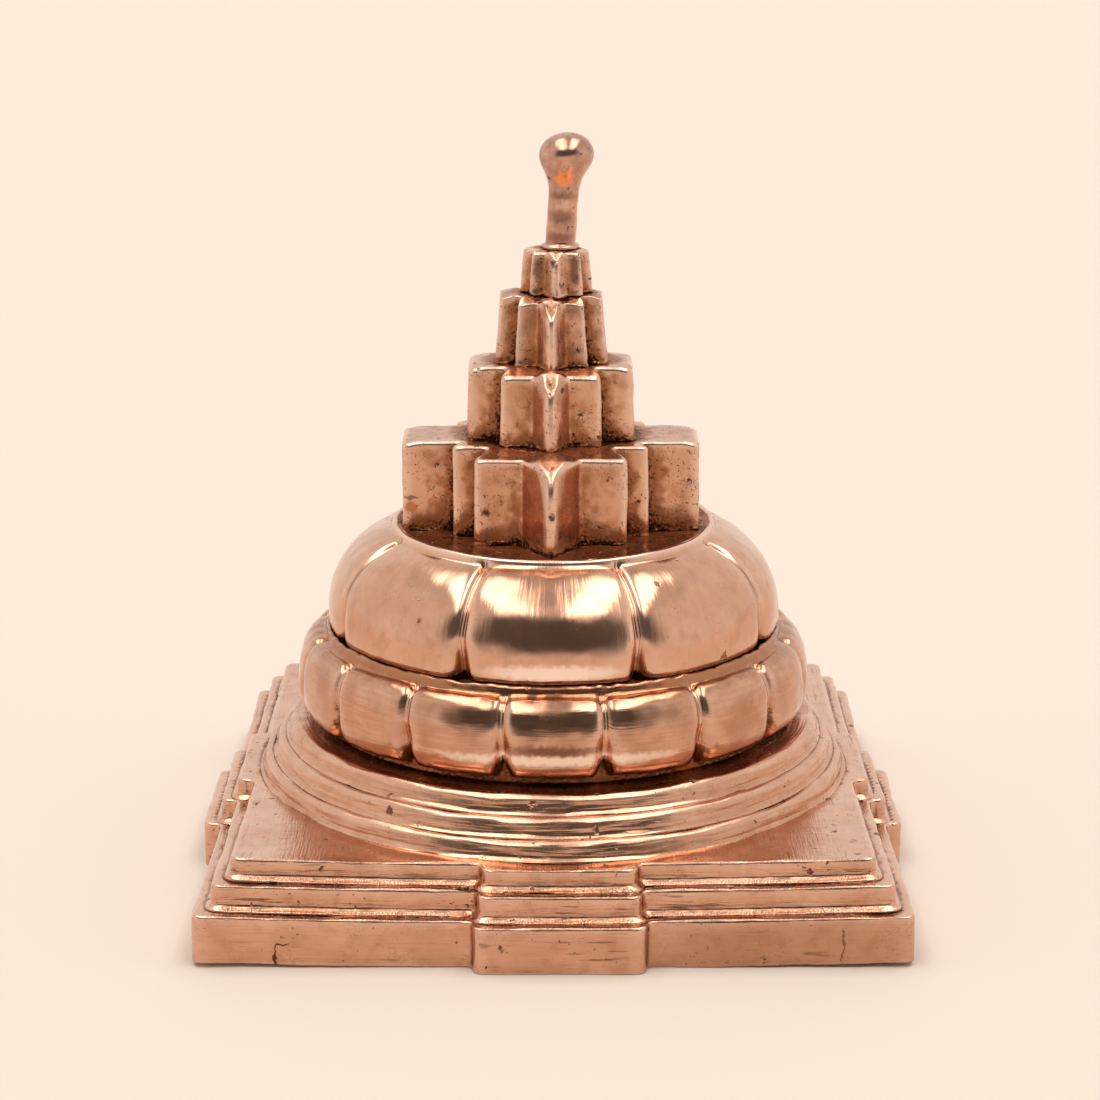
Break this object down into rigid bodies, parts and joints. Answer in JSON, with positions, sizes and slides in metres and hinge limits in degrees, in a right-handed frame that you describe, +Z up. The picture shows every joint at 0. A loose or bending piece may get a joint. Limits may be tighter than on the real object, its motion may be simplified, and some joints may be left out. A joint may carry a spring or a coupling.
{
  "type": "meru shri yantra",
  "caption": "Stepped copper pyramid on a square gated base, with round steps, lotus petal rings, star tiers and a ball finial, held together by a central shank.",
  "frame": {"origin": "centre of the base's underside, on the surface that the object stands on", "axes": "+Z up through the finial; -Y towards the viewer, who sees a petal and a star tip face on; +X to the viewer's right"},
  "size_m": [0.0742, 0.0742, 0.077],
  "materials": {
    "brushed_copper": "cast copper, brushed along the steps, worn edges",
    "polished_copper": "cast copper, buffed bright, dark in the grooves",
    "cast_copper": "cast copper, pitted, browned in the inside corners",
    "fastener_brass": "turned brass"
  },
  "bodies": {
    "root": {"bhupura_lower_slab": "brushed_copper", "bhupura_middle_slab": "brushed_copper", "bhupura_upper_slab": "brushed_copper", "lower_circle": "brushed_copper", "middle_circle": "brushed_copper", "upper_circle": "brushed_copper", "sixteen_petal_ring": "polished_copper", "lotus_drum": "cast_copper", "eight_petal_ring": "polished_copper", "fourteen_corner_star": "cast_copper", "outer_ten_corner_star": "cast_copper", "inner_ten_corner_star": "cast_copper", "eight_corner_star": "cast_copper", "bindu_finial": "polished_copper", "shank_washer": "fastener_brass", "shank_nut": "fastener_brass"}
  },
  "joints": []
}
